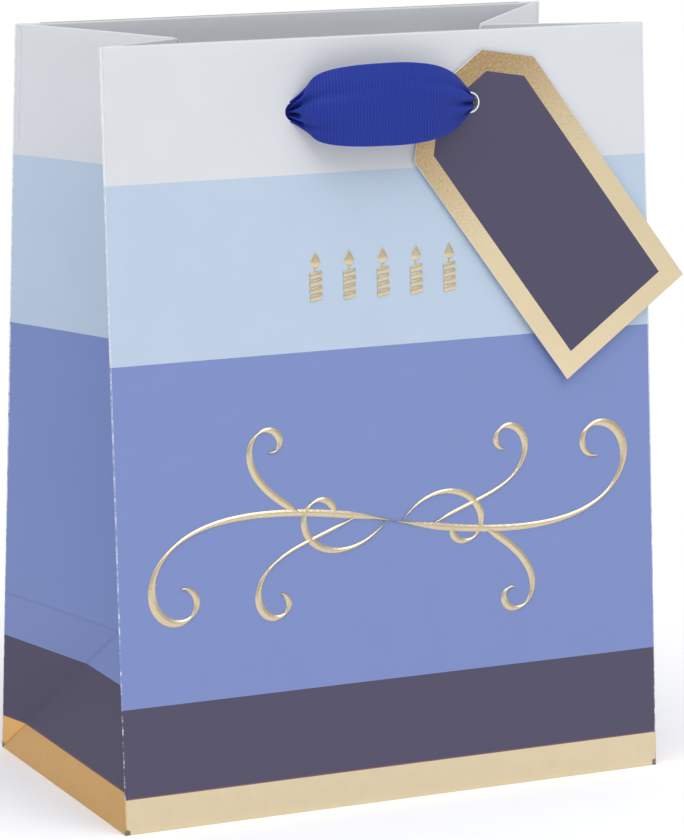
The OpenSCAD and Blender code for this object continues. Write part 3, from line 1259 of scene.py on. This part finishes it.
class GIFTBAG_OT_tag(bpy.types.Operator):
    """Cut, border and hang the tag"""

    bl_idname = "gift_bag.tag"
    bl_label = "Hang tag"

    def execute(self, context):
        t = context.scene.gift_bag_tag
        deselect()
        middle = t.hole_drop - t.length / 2
        bpy.ops.mesh.primitive_plane_add(size=1, location=(0, middle, 0))
        tag = named("hang_tag")
        tag.scale = (t.width, t.length, 1)
        apply_place(tag)
        edit_part(tag, lambda point: point.y > 0)
        bpy.ops.mesh.bevel(offset=t.corner, segments=1, affect="VERTICES", offset_type="OFFSET")
        bpy.ops.mesh.select_all(action="SELECT")
        bpy.ops.mesh.inset(thickness=t.border, depth=0)
        leave_edit()
        inner = [f.index for f in tag.data.polygons if f.select]
        paint(
            tag, finish("tag_foil", tag_foil), finish("tag_print", tag_print),
            finish("plain_paper", plain_paper),
        )
        for face in tag.data.polygons:
            face.material_index = 1 if face.index in inner else 0
        # cross cuts, so that the card can curl
        cuts = 26
        edit(tag)
        for y in spread(t.hole_drop - t.length, t.hole_drop, cuts)[1:-1]:
            bpy.ops.mesh.select_all(action="SELECT")
            bpy.ops.mesh.bisect(plane_co=(0, y, 0), plane_no=(0, 1, 0))
        leave_edit()
        lay_out(tag.data, [vertex.co.xy for vertex in tag.data.vertices])
        finish_modifier(
            tag, "SOLIDIFY", thickness=t.thickness, offset=-1,
            material_offset=2, material_offset_rim=2,
        )
        punch(tag, [(Vector((0, 0, 0)), Vector((0, 0, 1)))], HOLE_R)
        deselect()
        # the pressed rim of the hole
        bpy.ops.mesh.primitive_torus_add(
            major_radius=HOLE_R + 0.15 * MM, minor_radius=0.2 * MM, major_segments=48,
            minor_segments=8,
        )
        rim = bpy.context.object
        rim.scale.z = 0.35
        apply_place(rim)
        paint(rim, finish("plain_paper", plain_paper))
        tag = join("hang_tag", [tag, rim])
        # hang it: off the panel by its gap, further out at the curled lower end
        turn_x, turn_y = math.cos(t.swing), math.sin(t.swing)
        drop = t.length - t.hole_drop
        gap, twist = 1.35 * MM, 0.5 * MM
        for vertex in tag.data.vertices:
            a, b, lift = vertex.co
            x = a * turn_x - b * turn_y
            h = a * turn_y + b * turn_x
            down = max(0.0, -b / drop)
            off = gap + t.curl * down**1.8 + twist * down * a / t.width
            vertex.co = panel_point(FRONT, HOLE_X + x, HOLE_H + h, -off - lift)
        tag.data.update()
        smooth(tag, 30)
        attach(tag, "tag")
        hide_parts("tag")
        return {"FINISHED"}


class GIFTBAG_PT_panel(bpy.types.Panel):
    """Settings and steps of the gift bag"""

    bl_idname = "GIFTBAG_PT_panel"
    bl_label = "Gift Bag"
    bl_space_type = "VIEW_3D"
    bl_region_type = "UI"
    bl_category = "Gift Bag"

    def draw(self, context):
        scene = context.scene
        for name in SETTINGS:
            group = getattr(scene, name)
            box = self.layout.box()
            for prop in group.bl_rna.properties:
                if not prop.is_readonly and prop.identifier != "name":
                    box.prop(group, prop.identifier)
        for step in STEPS:
            self.layout.operator(step.bl_idname)


SETTINGS = {
    "gift_bag_paper": GiftBagPaper,
    "gift_bag_ribbon": GiftBagRibbon,
    "gift_bag_tag": GiftBagTag,
    "gift_bag_stage": GiftBagStage,
}
STEPS = (
    GIFTBAG_OT_stage,
    GIFTBAG_OT_panels,
    GIFTBAG_OT_sides,
    GIFTBAG_OT_layers,
    GIFTBAG_OT_candles,
    GIFTBAG_OT_flourish,
    GIFTBAG_OT_ribbons,
    GIFTBAG_OT_knots,
    GIFTBAG_OT_tag,
)
CLASSES = (*SETTINGS.values(), *STEPS, GIFTBAG_PT_panel)


def register():
    for cls in CLASSES:
        bpy.utils.register_class(cls)
    for name, group in SETTINGS.items():
        setattr(bpy.types.Scene, name, PointerProperty(type=group))


def unregister():
    for name in SETTINGS:
        delattr(bpy.types.Scene, name)
    for cls in reversed(CLASSES):
        bpy.utils.unregister_class(cls)


def main():
    register()
    for step in STEPS:
        group, name = step.bl_idname.split(".")
        getattr(getattr(bpy.ops, group), name)()


if __name__ == "__main__":
    main()
